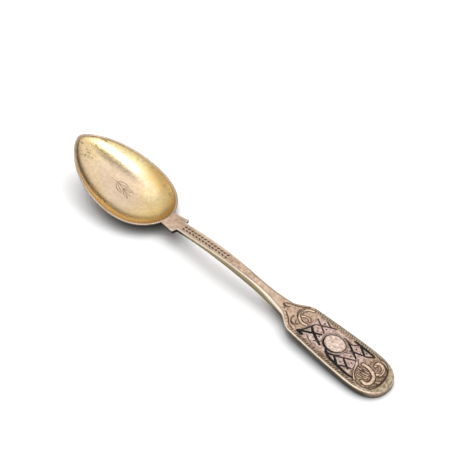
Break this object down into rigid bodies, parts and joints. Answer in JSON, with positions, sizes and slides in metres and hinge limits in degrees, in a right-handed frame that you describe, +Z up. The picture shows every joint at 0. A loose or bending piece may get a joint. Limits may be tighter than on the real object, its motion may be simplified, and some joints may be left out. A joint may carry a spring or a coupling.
{
  "type": "teaspoon",
  "caption": "Teaspoon with an egg-shaped gilt bowl, squared fins at the heel, an arched stem and a fiddle-shaped end inlaid with a dark trellis and scrolls.",
  "frame": {"origin": "middle of the spoon's box at the table it lies on", "axes": "+X from the bowl's tip to the handle's end, +Y across the spoon, +Z up out of the bowl"},
  "size_m": [0.14, 0.0262, 0.0125],
  "materials": {
    "silver": "polished silver with fine wear",
    "gilding": "polished fire gilding, rubbed thin in places",
    "worn_gilt": "satin silver-gilt, worn pinkish",
    "solder": "dull hard solder",
    "niello": "blue-black metal sulphide, polished flush",
    "worn_niello": "thin worn inlay, brown"
  },
  "bodies": {
    "root": {"bowl": "silver", "bowl_gilding": "gilding", "handle": "worn_gilt", "solder_seam": "solder", "niello_stem_band": "niello", "niello_stem_scroll": "worn_niello", "niello_inner_lattice": "niello", "niello_medallion_ring": "niello", "niello_outer_lattice": "niello", "niello_seeds": "niello", "niello_border": "worn_niello", "niello_end_scroll": "worn_niello"}
  },
  "joints": []
}
